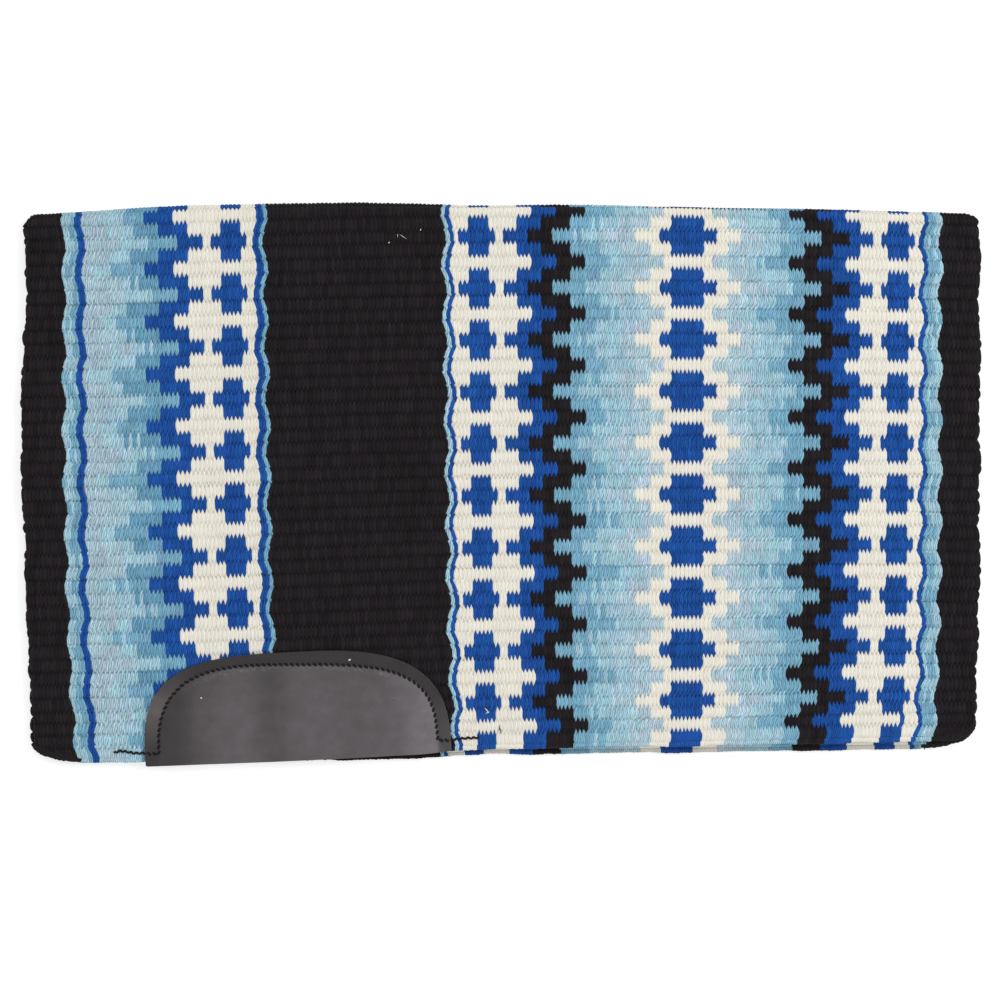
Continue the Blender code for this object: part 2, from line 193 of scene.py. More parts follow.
# How far each side stands out or in on the way from the fold to the hem
SIDE_SHARES = (0, 0.1, 0.17, 0.28, 0.4, 0.5, 0.62, 0.73, 0.8, 0.88, 1)
SIDE_STAND = ((-1.5, -2.7, -3.8, -0.4, 1.0, 2.0, -1.0, -1.2, -3.0, -2.0, 0.0),
              (-3.0, 2.4, 0.6, 1.4, 2.1, 1.8, 2.2, 2.2, 1.2, 0.6, -1.0))
SIDE_REACH = 60 * MM

# The last stitches at a side bulge in lumps, and draw in at the valleys
SELVAGE_STITCHES = 4
SIDE_SCALLOP = 2.1 * MM

# Corners: where they are cut off, how wide the black band beside them is, and how square the binding
# roll that lies along the cut turns
CORNER_RUN = 42 * MM
CORNER_RISE = 19 * MM
CORNER_POWER = 4
CORNER_START = ((4.5 * MM, -1.5 * MM), (2.5 * MM, 5.5 * MM))
BLACK_BAND = ((44.5 * MM, 33 * MM), (44.5 * MM, 44.5 * MM))
SQUEEZED = 2.5 * MM
ROLL_SQUARE = {"front_left": 0.55, "front_right": 1.05, "back_left": 0.5, "back_right": 0.62}
ROLL_LIFT = 0.9 * MM
ROLL_LAP = 2.5 * MM
ROLL_INSET = (2 * MM, 0)
ROLL_OFF_FLOOR = 1.08
ROLL_RINGS = 90
ROLL_TURNS = 11
ROLL_FULLNESS = (0.75, 1.0, 1.15, 1.0, 1.15, 0.95, 0.6)
ROLL_LEAST = 0.78
ROLL_CROWN = 0.24

# Under the leathers, front and back, the wool lies pressed: how deep, and over what margin
PRESS = ((0.9 * MM, 4 * MM), (4.15 * MM, 1.2 * MM))

# The spine: half the width of the rib that goes round the fold, and the cloth left inside it
SPINE_HALF = 5.85 * MM
SPINE_SKIN = 0.8 * MM

# The hem: the last ribs crowd together, and the last one laps onto the cord, level with it
HEM_CROWD = 3.2 * MM
CROWDED_RIBS = 3
HEM_LAP = 1.9 * MM
HEM_DEPTH = 1.05 * MM
FRONT_HEM_LONGER = 8.5 * MM
# How much of its lightness the back hem's cord keeps: painted shade, for the shadow of the cloth over it
BACK_HEM_PAINTED_SHADE = 0.66

# The hem's cord: its turns slant, and it is fuller at dark yarns than at light ones
CORD_SIDES = 14
HEM_SLANT = 0.35
TURN_DEPTH = 0.22
HEM_FULLNESS = (1.15, 0.92)
FULLNESS_RUN = 13

# The wear leathers: a half-moon, its base turned from X, and its left and right shoulders not alike
MOON_LENGTH = 275.6 * MM
MOON_HEIGHT = 95.8 * MM
MOON_SHOULDERS = (3.3, 2.95)
FRONT_MOON_TILT = math.radians(2.9)
FRONT_MOON_DROP = 1.1 * MM
MOON_EDGE = 0.5 * MM
BASE_SHARES = (0, 0.2, 0.43, 0.8, 0.93, 1)
BASE_BULGE = (0.7, 1.4, 2.2, 2.2, 1.8, 0)
OUTLINE_POINTS, ARC_POINTS, BASE_POINTS = 2000, 420, 130
UNDER_RINGS, RIM_RINGS, FACE_RINGS = 8, 5, 61

# Their seam: an arch inside the rim that leans to the left, with feet above the base
SEAM_LEFT = 12.3 * MM
SEAM_RIGHT = 263.6 * MM
SEAM_HEIGHT = 91 * MM
SEAM_FALL = 0.048
SEAM_SHOULDERS = (3.1, 3.6)
SEAM_FEET = 10 * MM
SEAM_PITCH = 5.09 * MM
SEAM_POINTS = 4000
SEAM_SMOOTHING = 3
POINTS_A_STITCH = 12
STITCH_SHARE = 0.6
STITCH_SLANT = 0.5
STITCH_SQUARE = 2.2

# Its thread: how high it stands, how deep it dives, and how far it pulls the leather down
THREAD_SIDES = 8
THREAD_HALF = 1.15 * MM
THREAD_DIVE = 1.5 * MM
THREAD_STEP = 0.6 * MM
THREAD_STAND = 0.15 * MM
BACK_THREAD_STAND = 0.3 * MM
WOOL_STAND = 0.1 * MM
TAIL_DIP = 0.2
THREAD_PULL = 0.5 * MM
PULL_REACH = 1.6 * MM

# The thread's run-on over the rim and the wool, in millimetres along and above the base
LEFT_TAIL = ((-28, -22.4, -10, -0.7, 4.4, 9.4), (13.4, 14.7, 12.0, 11.5, 10.5, 10.8))
RIGHT_TAIL = ((264.5, 269, 273.8, 287, 301), (9.7, 9.5, 9.4, 10.2, 10.3))

# How uneven the leather lies, and how far the ribs under it show, away from the seam
BEDDING = 0.16 * MM
RIB_TRACE = 0.1 * MM
TRACE_REACH = 6 * MM

# How light the leather is along it inside its seam, in broad bands that are partly uneven dye and partly
# painted sheen, and the painted highlights of its puckers beside the seam
HIDE_ALONG = (20, 34, 48, 75, 88, 115, 142, 200, 225, 252)
HIDE_DYE_AND_SHEEN = (0.42, 0.52, 0.8, 1.08, 1.14, 0.8, 1.1, 1.05, 1.2, 1.75)
TOP_SHADE = 0.18
PUCKER_HIGHLIGHT, PUCKER_LEVEL, PUCKER_BAND, PUCKER_START = 0.9, 0.955, 0.018, 20 * MM

# How dark the leather's margin is, its painted highlight round the left side, and where it is paler at the
# lower right
MARGIN_TONE, MARGIN_BLEND, PALER_BLEND = 0.3, 0.03, 40 * MM
LEFT_HIGHLIGHT, LEFT_HIGHLIGHT_MIDDLE, LEFT_HIGHLIGHT_HALF, LEFT_HIGHLIGHT_END = 0.74, 49, 24, 60 * MM
RIGHT_PALER, RIGHT_PALER_TOP, RIGHT_PALER_START = 0.45, 55 * MM, 200 * MM

# Loose ends that lie on the blanket: X, Y and Z of both ends and half the thickness, in millimetres
LOOSE_WOOL = (
    (-269.6, -191.5, 16.4, -268.2, -192.3, 16.4, 0.7), (-136.5, -158.0, 16.4, -134.3, -156.8, 16.5, 0.8),
    (-92.5, 225.9, 14.8, -92.3, 223.0, 14.7, 0.2), (-90.7, 225.5, 14.8, -84.0, 220.9, 14.7, 0.2),
    (-100.6, 217.4, 14.7, -99.5, 218.7, 14.7, 0.45), (-71.9, 228.7, 14.7, -71.5, 230.4, 14.7, 0.45),
    (-14.0, -200.7, 14.8, -9.9, -205.6, 14.8, 0.45), (-13.1, -205.9, 14.8, -9.7, -204.1, 14.9, 0.4),
)
FRONT_LOOSE_THREAD = (
    (-0.2, -215.8, 14.8, -1.1, -221.8, 14.9, 0.35), (-0.4, -218.5, 14.9, 1.1, -224.1, 14.8, 0.4),
    (-341.5, -240.5, 14.9, -340.7, -237.4, 15.0, 0.4),
)
BACK_LOOSE_THREAD = ((383.4, -233.0, 5.6, 383.8, -239.9, 3.0, 0.7),)
LOOSE_RINGS = 7
LOOSE_BEND = 0.3 * MM

# The camera: 0.9 mm a pixel over the blanket
CAMERA_PLACE = (0.0, -13.7 * MM, 2214.7 * MM)
CAMERA_LENS = 88.0


def through(x, knots, values):
    """A smooth curve through the values at the knots: cubics that meet with the same slope."""
    knots, values = np.asarray(knots, float), np.asarray(values, float)
    slopes = np.gradient(values, knots)
    at = np.clip(np.searchsorted(knots, x) - 1, 0, len(knots) - 2)
    step = knots[at + 1] - knots[at]
    t = np.clip((x - knots[at]) / step, 0, 1)
    start = (1 + 2 * t) * (1 - t) ** 2 * values[at] + t * (1 - t) ** 2 * step * slopes[at]
    end = t * t * (3 - 2 * t) * values[at + 1] - t * t * (1 - t) * step * slopes[at + 1]
    return start + end


def eased(t):
    """0 to 1, flat at both ends."""
    t = np.clip(t, 0, 1)
    return t * t * (3 - 2 * t)


def soft_noise(name, a, b, more=0):
    """A pattern of NOISES: random values at whole numbers of waves, eased between. more is added to its
    seed."""
    size, seed, run_a, run_b, start_a, start_b = NOISES[name]
    table = np.random.default_rng(seed + more).uniform(-1, 1, (NOISE_SIZE, NOISE_SIZE))
    a, b = np.broadcast_arrays(a / run_a + start_a, b / run_b + start_b)
    low_a, low_b = np.floor(a).astype(int), np.floor(b).astype(int)
    part_a, part_b = eased(a - low_a), eased(b - low_b)
    near, far = (table[row % NOISE_SIZE, low_b % NOISE_SIZE] * (1 - part_b)
                 + table[row % NOISE_SIZE, (low_b + 1) % NOISE_SIZE] * part_b for row in (low_a, low_a + 1))
    return size * (near * (1 - part_a) + far * part_a)


def chance(seed, rib, stitch, layers=()):
    """-1 to 1: a random value for each stitch of each rib, or one a layer."""
    table = np.random.default_rng(seed).uniform(-1, 1, (*layers, *CHANCE_SIZE))
    row, column = (rib + CHANCE_START[0]).astype(int), (stitch + CHANCE_START[1]).astype(int)
    return table[..., row % CHANCE_SIZE[0], column % CHANCE_SIZE[1]]


def linear(hex_colour):
    """An sRGB hex colour as linear red, green and blue."""
    values = [int(hex_colour[start:start + 2], 16) / 255 for start in (1, 3, 5)]
    return [v / 12.92 if v <= 0.04045 else ((v + 0.055) / 1.055) ** 2.4 for v in values]


YARNS = list(YARN_LOOKS)
YARN_LINEAR = np.array([linear(looks[0]) for looks in YARN_LOOKS.values()])
YARN_TONE, YARN_HUE, VALLEY_PAINTED_SHADE, PLY_SHOW = np.array([looks[1:] for looks in YARN_LOOKS.values()]).T
IS_MIXED = np.isin(YARNS, MIXED_YARNS)
BLACK_YARN = np.append(YARN_LINEAR[YARNS.index("black")], BINDING_SHOW)


def placed(name, data):
    """A new object in the scene."""
    new = bpy.data.objects.new(name, data)
    bpy.context.scene.collection.objects.link(new)
    return new


def surface(name, points, index, uv_maps=None, colours=None, crease_rows=None, crease_columns=None):
    """A mesh on a grid. index holds the point at each place of the grid, and repeats a point where
    edges or poles close. A face's corner that repeats the one before it is dropped. uv_maps has a
    pair for each place, colours four numbers for each face or for all (the colour and how far its plies
    show), and the crease grids mark edges along and down it."""
    rows, columns = index.shape
    row, column = np.mgrid[0:rows - 1, 0:columns - 1].reshape(2, -1)
    corner_rows = np.stack([row, row + 1, row + 1, row], 1)
    corner_columns = np.stack([column, column, column + 1, column + 1], 1)
    ids = index[corner_rows, corner_columns]
    keep = ids != np.roll(ids, -1, axis=1)
    whole = keep.sum(1) >= 3
    keep &= whole[:, None]
    used, corners = np.unique(ids[keep], return_inverse=True)
    sizes = keep.sum(1)[whole]
    mesh = bpy.data.meshes.new(name)
    mesh.vertices.add(len(used))
    mesh.vertices.foreach_set("co", points.reshape(-1, 3)[used].astype(np.float32).ravel())
    mesh.loops.add(len(corners))
    mesh.loops.foreach_set("vertex_index", corners.astype(np.int32).ravel())
    mesh.polygons.add(len(sizes))
    mesh.polygons.foreach_set("loop_start", np.concatenate([[0], np.cumsum(sizes)[:-1]]).astype(np.int32))
    mesh.update(calc_edges=True)
    mesh.shade_smooth()
    for map_name, places in (uv_maps or {}).items():
        layer = mesh.uv_layers.new(name=map_name)
        values = places[corner_rows, corner_columns][keep]
        layer.uv.foreach_set("vector", values.astype(np.float32).ravel())
    if colours is not None:
        layer = mesh.color_attributes.new("yarn", "FLOAT_COLOR", "CORNER")
        colours = np.broadcast_to(colours, (rows - 1, columns - 1, 4))[row, column]
        values = np.repeat(colours[:, None], 4, axis=1)[keep]
        layer.data.foreach_set("color", values.astype(np.float32).ravel())
    if crease_rows is not None:
        along = np.stack([index[:, :-1][crease_rows], index[:, 1:][crease_rows]], 1)
        down = np.stack([index[:-1][crease_columns], index[1:][crease_columns]], 1)
        pairs = np.sort(np.searchsorted(used, np.concatenate([along, down])), axis=1)
        edges = np.zeros(2 * len(mesh.edges), np.int32)
        mesh.edges.foreach_get("vertices", edges)
        edges = np.sort(edges.reshape(-1, 2), axis=1)
        sharp = np.isin(edges[:, 0] * len(used) + edges[:, 1], pairs[:, 0] * len(used) + pairs[:, 1])
        mesh.attributes.new("sharp_edge", "BOOLEAN", "EDGE").data.foreach_set("value", sharp)
    return placed(name, mesh)


class Hem:
    """A half's hem line and cord, read from the box of its cord's node."""

    def __init__(self, node, rises, longer):
        low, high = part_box(node)
        self.radius = (high.z - low.z) / 2
        self.middle_z = (high.z + low.z) / 2
        self.slope = (high.y - low.y - 2 * self.radius) / (high.x - low.x)
        self.start, self.end = low.x, high.x + longer
        self.start_y = low.y
        self.rises = rises

    def line(self, x):
        """The hem's outer edge at x: the model's straight line, and how far the cloth strays from it."""
        rise = through(x / HALF_WIDTH, HEM_SHARES, self.rises) * MM
        return self.start_y + (x - self.start) * self.slope + rise

    def reach(self, x):
        """How far round the cloth the last rib ends, from the outermost line of the fold."""
        return FOLD_Y - self.line(x) - 2 * self.radius - CLEARANCE + ARC


FRONT_HEM, BACK_HEM = HEMS = (Hem("front_hem_cord", HEM_RISE[0], FRONT_HEM_LONGER),
                              Hem("back_hem_cord", HEM_RISE[1], 0))


def arch(count, shoulders):
    """A rounded arch from -1 to 1 across and 0 to 1 up: powers of cosine and sine, less round the higher
    the shoulder's number, with one number for its left half and one for its right."""
    angle = np.linspace(math.pi, 0, count)
    power = 2 / np.where(angle > math.pi / 2, *shoulders)
    return np.sign(np.cos(angle)) * np.abs(np.cos(angle)) ** power, np.clip(np.sin(angle), 0, 1) ** power


def arch_level(across, up, shoulders):
    """1 on the arch, less inside it and more outside, in shares of its size."""
    power = np.where(across < 0, *shoulders)
    return (np.abs(across) ** power + np.clip(up, 0, None) ** power) ** (1 / power)


class Moon:
    """The half-moon of a wear leather, read from the box of its node and turned by its tilt."""

    def __init__(self, node, tilt, drop):
        low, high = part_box(node)
        self.low_z, self.high_z = low.z, high.z
        self.along = np.array([math.cos(tilt), math.sin(tilt)])
        self.up = np.array([-self.along[1], self.along[0]])
        self.base = np.zeros(2)
        x, y = self.put(*self.rim(0, OUTLINE_POINTS))
        self.base = np.array([low.x - x.min(), low.y - y.min() - drop])

    def rim(self, inset, count):
        """The outline at an inset: a rounded arch over a straight base."""
        x, y = arch(count, MOON_SHOULDERS)
        return inset + (MOON_LENGTH / 2 - inset) * (1 + x), inset + (MOON_HEIGHT - 2 * inset) * y

    def put(self, x, y):
        """X and Y of a point given along and above the base."""
        return (self.base[0] + self.along[0] * x + self.up[0] * y,
                self.base[1] + self.along[1] * x + self.up[1] * y)

    def cover(self, x, y, margin):
        """1 well inside the half-moon, 0 outside it, and between these over the margin."""
        x, y = x - self.base[0], y - self.base[1]
        along, above = self.along[0] * x + self.along[1] * y, self.up[0] * x + self.up[1] * y
        level = arch_level(2 * along / MOON_LENGTH - 1, above / MOON_HEIGHT, MOON_SHOULDERS)
        inside = np.minimum((1 - level) * MOON_HEIGHT, above)
        return eased(inside / margin + 1)


MOONS = (Moon("front_wear_leather", FRONT_MOON_TILT, FRONT_MOON_DROP),
         Moon("back_wear_leather", BACK_HEM.slope, 0))


def rib_edge(rib, x):
    """How far round the cloth from the fold's outermost line rib number `rib` begins, at x. The front
    ribs keep their pitch from the first wide rib both ways, and the back ones share the way evenly."""
    share = x / HALF_WIDTH
    pitch = through(share, LAY_SHARES, RIB_PITCH) * MM
    first = through(share, LAY_SHARES, FIRST_WIDE_RIB) * MM - FOLD_RADIUS + ARC - pitch / 2
    front = first + (rib - 1) * pitch
    front = front - HEM_CROWD * np.clip((rib - LAST_RIB + CROWDED_RIBS) / CROWDED_RIBS, 0, 1)
    front = np.where(rib > LAST_RIB, FRONT_HEM.reach(x) + HEM_LAP, front)
    back_way = BACK_HEM.reach(x) + HEM_LAP - SPINE_HALF
    back = -SPINE_HALF + (rib - SPINE_RIB) * back_way / (SPINE_RIB - FIRST_RIB)
    return np.where(rib > SPINE_RIB, front, back)


def parity(rib, inner):
    """Half a stitch on every other rib, and the other way on the cloth's inner face."""
    return np.where((rib % 2 == 0) != inner, 0.5, 0.0)


def tip(rib, q, inner):
    """How far the stitches' tips reach over the edge where rib number `rib` begins: a zigzag in step
    with the stitches of the rib before."""
    phase = (q - parity(rib - 1, inner)) % 1
    size = TIP_REACH * (1 + soft_noise("tips", q, rib, inner))
    hemmed = (rib == FIRST_RIB) | (rib > LAST_RIB)
    return np.where(hemmed, 0, size * (1 - 4 * np.abs(phase - 0.5)))


def dome(share):
    """A half circle's height across it: 0 at its edges and 1 in its middle."""
    return np.sqrt(np.clip(1 - (2 * share - 1) ** 2, 0, 1))


def crown(phase):
    """A yarn's height across its width, a little fuller than a dome."""
    return dome(phase) ** CROWN_POWER


def lie(rib, share, q, inner):
    """X, Y and Z of the cloth. rib and share say where between two valleys a row is, and q how many
    stitches from the left. Round the fold the outer face is a half circle less its depth. Each row's
    depth is a rounded rib, less the grooves between the stitches."""
    x = -HALF_WIDTH + PITCH * (q + np.interp(q, CROWD_STITCHES, CROWD_OFFSETS))
    across = x / HALF_WIDTH
    low, high = rib_edge(rib, x), rib_edge(rib + 1, x)
    u = low + share * (high - low)
    round_fold = np.where(share < 0.5, low * (1 - 2 * share), high * (2 * share - 1))
    u = np.where(rib == SPINE_RIB, round_fold, u)
    tips = np.where(share < 0.5, tip(rib, q, inner), tip(rib + 1, q, inner))
    u = u + tips * (2 * share - 1) ** 2
    front, left = u > 0, across < 0
    way = np.abs(u) / np.where(front, *(hem.reach(x) for hem in HEMS))

    # Round ribs with grooves between their stitches, and no two stitches quite alike
    stitch = q - parity(rib, inner)
    swell = dome(share)
    hemming = np.where(rib >= LAST_RIB, share, 0) + np.where(rib <= FIRST_RIB, 1 - share, 0)
    depth = (VALLEY_DEPTH + (HEM_DEPTH - VALLEY_DEPTH) * eased(hemming)) * (1 - swell)
    unlike = chance(STITCH_SEED + inner, rib, np.floor(stitch))
    groove = GROOVE_DEPTH * (1 - crown(stitch % 1)) + STITCH_UNLIKE * (1 + unlike)
    depth = depth + groove * swell ** 0.5
    depth = depth + UNEVEN_DEPTH * (1 + soft_noise("uneven", q, rib + share))

    # The narrow lines wave smoothly from rib to rib, where the draft steps half a stitch
    wave = np.interp(q, WAVE_STITCHES, WAVE_SIZES)
    now, middle = np.cos(math.pi / 2 * (rib + share - 1.5)), np.cos(math.pi / 2 * (rib - 1))
    x = x + PITCH * wave * (now - middle + 2 * WAVE_EXTRA * now)
    sway = np.interp(q, SWAY_STITCHES, SWAY_SIZES)
    x = x + PITCH * sway * (1 - np.cos(math.pi * (rib + share - 1.5))) / 2

    # Sides: columns stray a little, and the last few stitches stand out or in
    x = x + soft_noise("stray", q, rib + share, inner)
    even, late = (np.where(front, *(through(across, DRIFT_SHARES, drift) for drift in drifts))
                  for drifts in (EVEN_DRIFT, LATE_DRIFT))
    x = x + (even * way + late * way ** LATE_POWER) * MM
    from_side = np.minimum(q, STITCHES - q) * PITCH
    stand = np.where(left, *(through(way, SIDE_SHARES, side) for side in SIDE_STAND)) * MM
    out = np.sign(across)
    lump = soft_noise("lumps", out, rib + share)
    scallop = -SIDE_SCALLOP * (1 - swell) * (1 + soft_noise("scallops", out, rib + share))
    x = x + out * (stand * eased(1 - from_side / SIDE_REACH)
                   + (lump + scallop) * eased(1 - from_side / (SELVAGE_STITCHES * PITCH)))

    # Corners: the sides draw in to where the rolls lie
    hem_y = np.where(front, *(hem.line(x) for hem in HEMS))
    flat = np.clip(np.abs(u) - ARC, 0, None)
    above = FOLD_Y - flat - hem_y
    start, band = (np.where(front, *(np.where(left, *pair) for pair in pairs))
                   for pairs in (CORNER_START, BLACK_BAND))
    cut = CORNER_RUN * np.clip(1 - (above - start) / CORNER_RISE, 0, None) ** CORNER_POWER
    cut = np.minimum(cut, band)
    inside = HALF_WIDTH - np.abs(x)
    squeezed = cut + inside * (band + SQUEEZED - cut) / (band + SQUEEZED)
    x = np.where(inside < band + SQUEEZED, np.sign(x) * (HALF_WIDTH - squeezed), x)

    # Depth: the wool is pressed under the leathers, and rounds off at its ends
    angle = np.clip(u / FOLD_RADIUS, -math.pi / 2, math.pi / 2)
    y = FOLD_Y - flat
    if not inner:
        pressed = np.where(front, *(press * moon.cover(x, y, margin)
                                    for moon, (press, margin) in zip(MOONS, PRESS)))
        depth = np.maximum(depth, pressed)
    rim = np.sqrt(np.clip(1 - (1 - np.clip(from_side / RIM_RUN, 0, 1)) ** 2, 0, 1))
    half = (FOLD_RADIUS - HALF_GAP) / 2
    depth = half - (half - depth) * rim
    bow = through(across, FOLD_SHARES, FOLD_BOW) * MM
    drop = np.where(left, *FOLD_CORNER_DROP)
    bow = bow - drop * np.clip(1 - from_side / FOLD_CORNER_RUN, 0, 1) ** BOW_POWER
    bow = bow * np.clip(1 - np.abs(u) / BOW_RUN, 0, 1) ** BOW_POWER

    # Only the spine's rib goes beyond the hinge, so the halves have room when it opens
    kept = np.minimum(bow, FOLD_RADIUS * (1 - np.cos(angle)) - CLEARANCE)
    bow = np.where(rib == SPINE_RIB, kept + (bow - kept) * swell ** 2, kept)
    if inner:
        round_run = half + (half - SPINE_SKIN) * rim + HALF_GAP
        y = y + round_run * np.cos(angle) + np.minimum(bow, 0)
        z = HINGE_Z + np.sign(u) * (HALF_GAP + depth)
    else:
        radius = FOLD_RADIUS - depth
        y, z = y + radius * np.cos(angle) + bow, HINGE_Z + radius * np.sin(angle)
    return np.stack(np.broadcast_arrays(x, y, z), -1)


def yarn_at(rib, middle):
    """Which yarn of YARNS the draft gives a stitch with its middle there."""
    yarn = np.zeros(np.broadcast(rib, middle).shape, int)
    kind = np.where(rib % 4 == 1, 1, np.where(rib % 4 == 3, 3, 2))
    reach = MIX_REACH * chance(MIX_SEED, rib, np.floor(middle))
    for column in (1, 2, 3):
        rows = [row for row in DRAFT if row[column] is not None]
        starts = np.array([row[column] for row in rows], float)
        names = np.array([YARNS.index(row[0]) for row in rows])
        found, near = (names[np.clip(np.searchsorted(starts, middle + way) - 1, 0, None)]
                       for way in (JUST_PAST, reach))
        found = np.where(IS_MIXED[found] & IS_MIXED[near], near, found)
        yarn = np.where(kind == column, found, yarn)
    stray_rib, stray_middle, stray_yarn = STRAY_STITCH
    strays = (rib == stray_rib) & (np.abs(middle - stray_middle) < 0.5)
    return np.where(strays, YARNS.index(stray_yarn), yarn)


def yarn_colours(rib, share, q, inner):
    """Each stitch's colour from the draft, lighter or darker and a little off its hue by stitch and shot,
    and darker down in the valleys, which is painted shade."""
    offset = parity(rib, inner)
    stitch = np.floor(q - offset)
    middle = stitch + 0.5 + offset
    yarn = yarn_at(rib, middle)
    swell = dome(share)
    light, warm, green = chance(YARN_SEED + inner, rib, stitch, (3,))
    tone = 1 + YARN_TONE[yarn] * (TONE_BY_STITCH * light + soft_noise("shots", middle, rib))
    # Painted shade: the yarn is darker down in the valleys
    tone = tone * (1 - VALLEY_PAINTED_SHADE[yarn] * (1 - swell))
    stray = YARN_HUE[yarn]
    hue = np.stack([1 + stray * warm, 1 + stray * (HUE_FREE * green - HUE_TIED * warm),
                    1 + HUE_TIED * stray * warm], -1)
    return np.concatenate([YARN_LINEAR[yarn] * tone[..., None] * hue, PLY_SHOW[yarn][..., None]], -1)


def wool_piece(name, first, last):
    """A closed run of ribs: its outer rows one way, then its inner rows back, its ends drawn together."""
    shares = SPINE_SHARES if first == SPINE_RIB else FINE_SHARES if first > SPINE_RIB else PLAIN_SHARES
    ribs = np.repeat(np.arange(first, last + 1), len(shares))
    rib = np.append(ribs, last + 1)[:, None]
    share = np.append(np.tile(shares, last + 1 - first), 0.0)[:, None]
    q = ALL_STITCHES
    rows, columns = len(rib), q.shape[1]
    points = np.concatenate([lie(rib, share, q, False), lie(rib, share, q, True)[::-1]])
    ids = np.arange(2 * rows * columns).reshape(2, rows, columns)
    ids[1][:, 0], ids[1][:, -1] = ids[0][::-1, 0], ids[0][::-1, -1]

    # The columns are parted in the middle, so that the baking map fills a square
    half = columns // 2
    at = np.concatenate([np.arange(half + 1), np.arange(half, columns)])
    index = np.concatenate([ids[0], ids[1], ids[0][:1]])[:, at]
    down = np.linspace(0, 1, len(index))[:, None]
    is_left = np.arange(len(at)) <= half
    along = np.where(is_left, at, at - half) / half
    bake = np.stack([np.broadcast_to(BAKE_EDGE + BAKE_ALONG * along, index.shape),
                     BAKE_EDGE + np.where(is_left, 0.0, 0.5) + BAKE_DOWN * down + 0 * along], -1)
    steps = down * len(ribs) * 2 / len(shares) * RIB
    weave = np.stack(np.broadcast_arrays(q[0][at], steps + first * RIB), -1)

    # Colours by stitch, black on the hidden walls, and creases in the valleys and grooves
    q_middle = (q[:, :-1] + q[:, 1:]) / 2
    faces = np.zeros((len(index) - 1, len(at) - 1, 4)) + BLACK_YARN
    kept = np.concatenate([np.arange(half), np.arange(half + 1, len(at) - 1)])
    middles = np.tile((np.array(shares) + np.append(shares[1:], 1)) / 2, last + 1 - first)[:, None]
    valley = np.concatenate([share[:, 0] == 0, share[::-1, 0] == 0, [True]])
    crease_rows = np.broadcast_to(valley[:, None], (len(index), len(at) - 1))
    crease_columns = np.zeros((len(index) - 1, len(at)), bool)
    for inner, start, way in ((False, 0, 1), (True, rows, -1)):
        run = slice(start, start + rows - 1)
        faces[run, kept] = yarn_colours(ribs[::way, None], middles[::way], q_middle, inner)
        crease_columns[run] = (q[0][at] - parity(ribs[::way], inner)[:, None]) % 1 == 0
    return surface(name, points, index, {"weave": weave, "OFBake": bake}, faces,
                   crease_rows, crease_columns)


def round_about(sides):
    """The angles round a tube, down a column."""
    return np.linspace(0, 2 * math.pi, sides + 1)[:, None]


def tube(name, centre, radius, sides, colours=None):
    """A tube on a path, or on several one after another: each ring is a circle, its radius by place,
    square to the path. It closes to a point at both ends and wherever its radius is 0."""
    angle = round_about(sides)
    tangent = np.gradient(centre, axis=0)
    tangent /= np.linalg.norm(tangent, axis=1)[:, None]
    side = np.cross([0, 0, 1.0], tangent)
    side /= np.linalg.norm(side, axis=1)[:, None]
    lift = np.cross(tangent, side)
    radius = np.broadcast_to(radius, (sides + 1, len(centre))).copy()
    radius[:, 0] = radius[:, -1] = 0
    spoke = np.cos(angle)[..., None] * side + np.sin(angle)[..., None] * lift
    index = np.arange(radius.size).reshape(radius.shape)
    index[-1] = index[0]
    index = np.where(radius.max(0) == 0, index[0], index)
    run = np.concatenate([[0], np.cumsum(np.linalg.norm(np.diff(centre, axis=0), axis=1))])
    weave = np.stack([np.broadcast_to(run / PITCH, index.shape), angle * radius.mean() + 0 * run], -1)
    return surface(name, centre + radius[..., None] * spoke, index, {"weave": weave}, colours)


def hem_cord(name, hem, rib, tone):
    """The hem's cord: a tube whose yarns lie side by side in slanting turns, in the colours of the rib, and
    fuller where the dark yarns are. tone is how much of their lightness is left: painted shade, which darkens
    the back cord for the shadow of the cloth over it."""
    seed = CORD_SEED + rib
    q = ALL_STITCHES
    share = 1.0 if rib > 0 else 0.0
    x = lie(np.array([[rib]]), np.array([[share]]), q, False)[0, :, 0]
    keep = np.flatnonzero((x > hem.start) & (x < hem.end))
    x, q = x[keep], q[0, keep]
    wander = soft_noise("cord_wander", q, 0, seed)
    centre = np.stack([x, hem.line(x) + hem.radius + wander, 0 * x + hem.middle_z], 1)
    phase = q + HEM_SLANT * np.sin(round_about(CORD_SIDES) / 2) - parity(rib, False)
    unlike = soft_noise("cord_turns", np.floor(phase), 0, seed)
    dark = np.isin(yarn_at(np.array(rib), q), (YARNS.index("black"), YARNS.index("royal")))
    full = np.pad(np.where(dark, *HEM_FULLNESS), FULLNESS_RUN // 2, "edge")
    full = np.convolve(full, np.ones(FULLNESS_RUN) / FULLNESS_RUN, "valid")
    radius = hem.radius * full * (1 + unlike - TURN_DEPTH * (1 - crown(phase % 1)))
    middle = (phase[:-1, :-1] + phase[1:, 1:]) / 2 + parity(rib, False)
    # tone darkens the cord's colours: painted shade on the back cord
    colours = yarn_colours(np.array(rib), 0.5, middle, False) * np.array([tone, tone, tone, 1])
    return tube(name, centre, radius, CORD_SIDES, colours)


